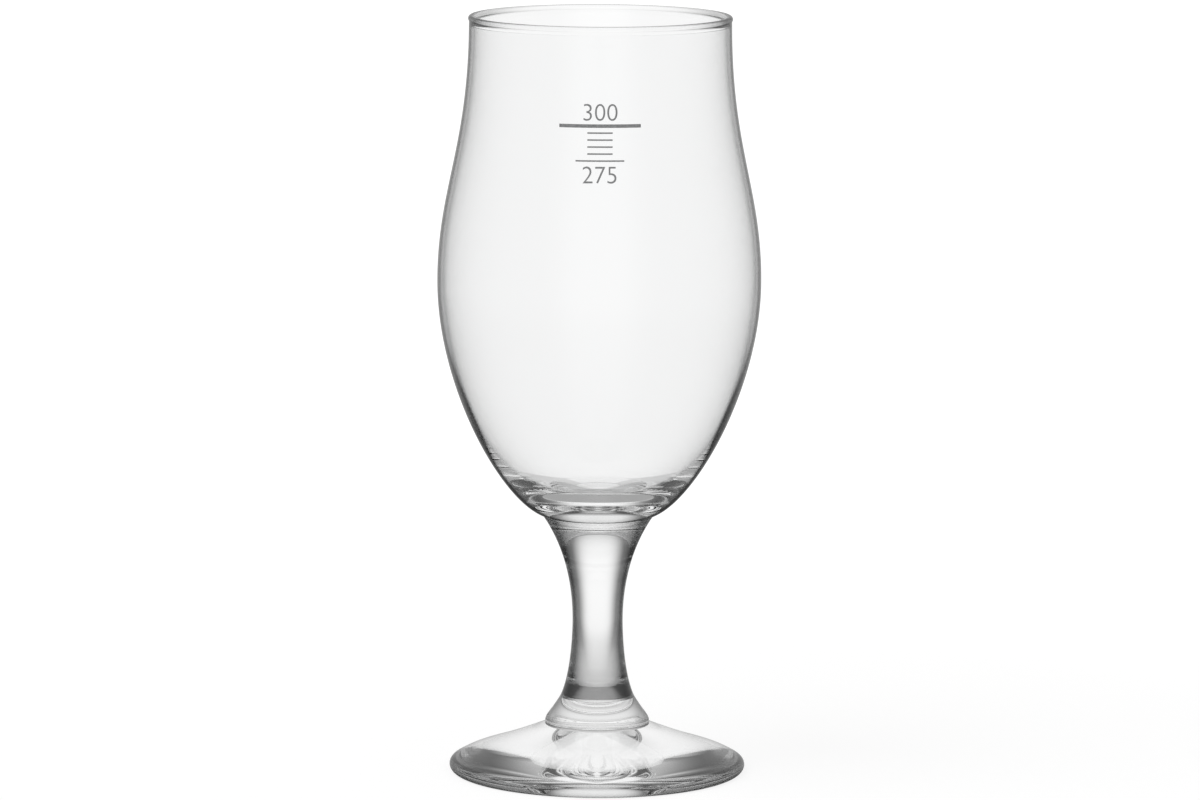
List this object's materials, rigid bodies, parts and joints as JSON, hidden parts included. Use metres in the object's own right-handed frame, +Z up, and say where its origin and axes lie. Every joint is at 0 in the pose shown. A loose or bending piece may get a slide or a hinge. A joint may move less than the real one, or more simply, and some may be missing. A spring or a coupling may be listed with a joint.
{
  "type": "stemmed beer glass",
  "caption": "Clear stemmed beer glass: tulip bowl, solid waisted stem and sloping foot fused at weld rings, with an enamel fill line on the front.",
  "frame": {"origin": "on the table under the middle of the foot", "axes": "+Z up along the stem, -Y toward the fill line"},
  "size_m": [0.076, 0.076, 0.1793],
  "materials": {
    "clear_glass": "clear, colourless and fire-polished",
    "grey_enamel": "grey fired enamel, slightly satin"
  },
  "bodies": {
    "root": {"bowl": "clear_glass", "stem": "clear_glass", "foot": "clear_glass", "fill_line": "grey_enamel"}
  },
  "joints": []
}
